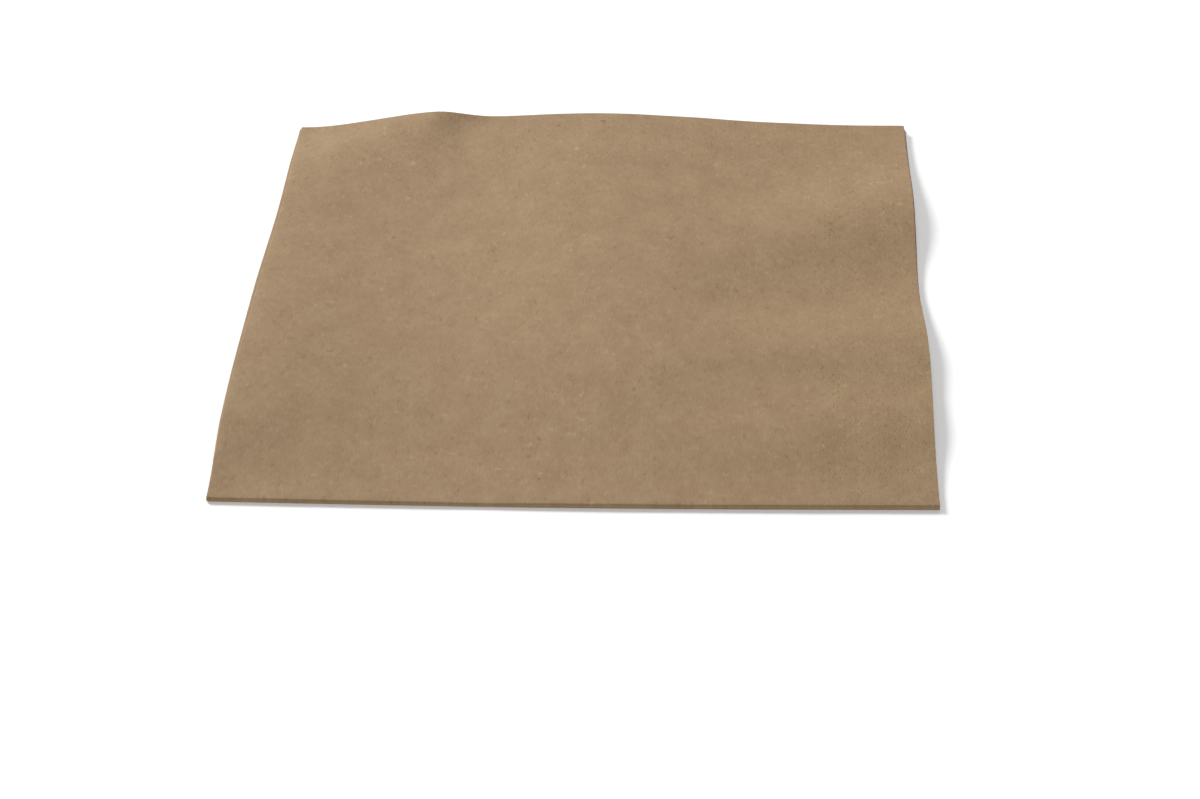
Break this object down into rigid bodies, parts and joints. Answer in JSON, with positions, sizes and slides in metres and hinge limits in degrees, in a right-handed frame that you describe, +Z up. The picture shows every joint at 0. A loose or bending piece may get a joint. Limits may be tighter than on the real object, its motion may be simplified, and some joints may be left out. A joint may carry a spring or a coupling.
{
  "type": "paper napkin",
  "caption": "Square soft paper napkin folded in quarters, lying with gentle waves; closed folds at the front and left, open cut edges at the back and right.",
  "frame": {"origin": "on the table under the middle of the folded napkin", "axes": "+X to the right along the closed front fold, +Y from the front fold to the open back edge, +Z up through the layers"},
  "size_m": [0.1667, 0.1664, 0.0052],
  "materials": {
    "kraft_paper": "soft unbleached brown tissue paper, matt"
  },
  "bodies": {
    "root": {"napkin": "kraft_paper"}
  },
  "joints": []
}
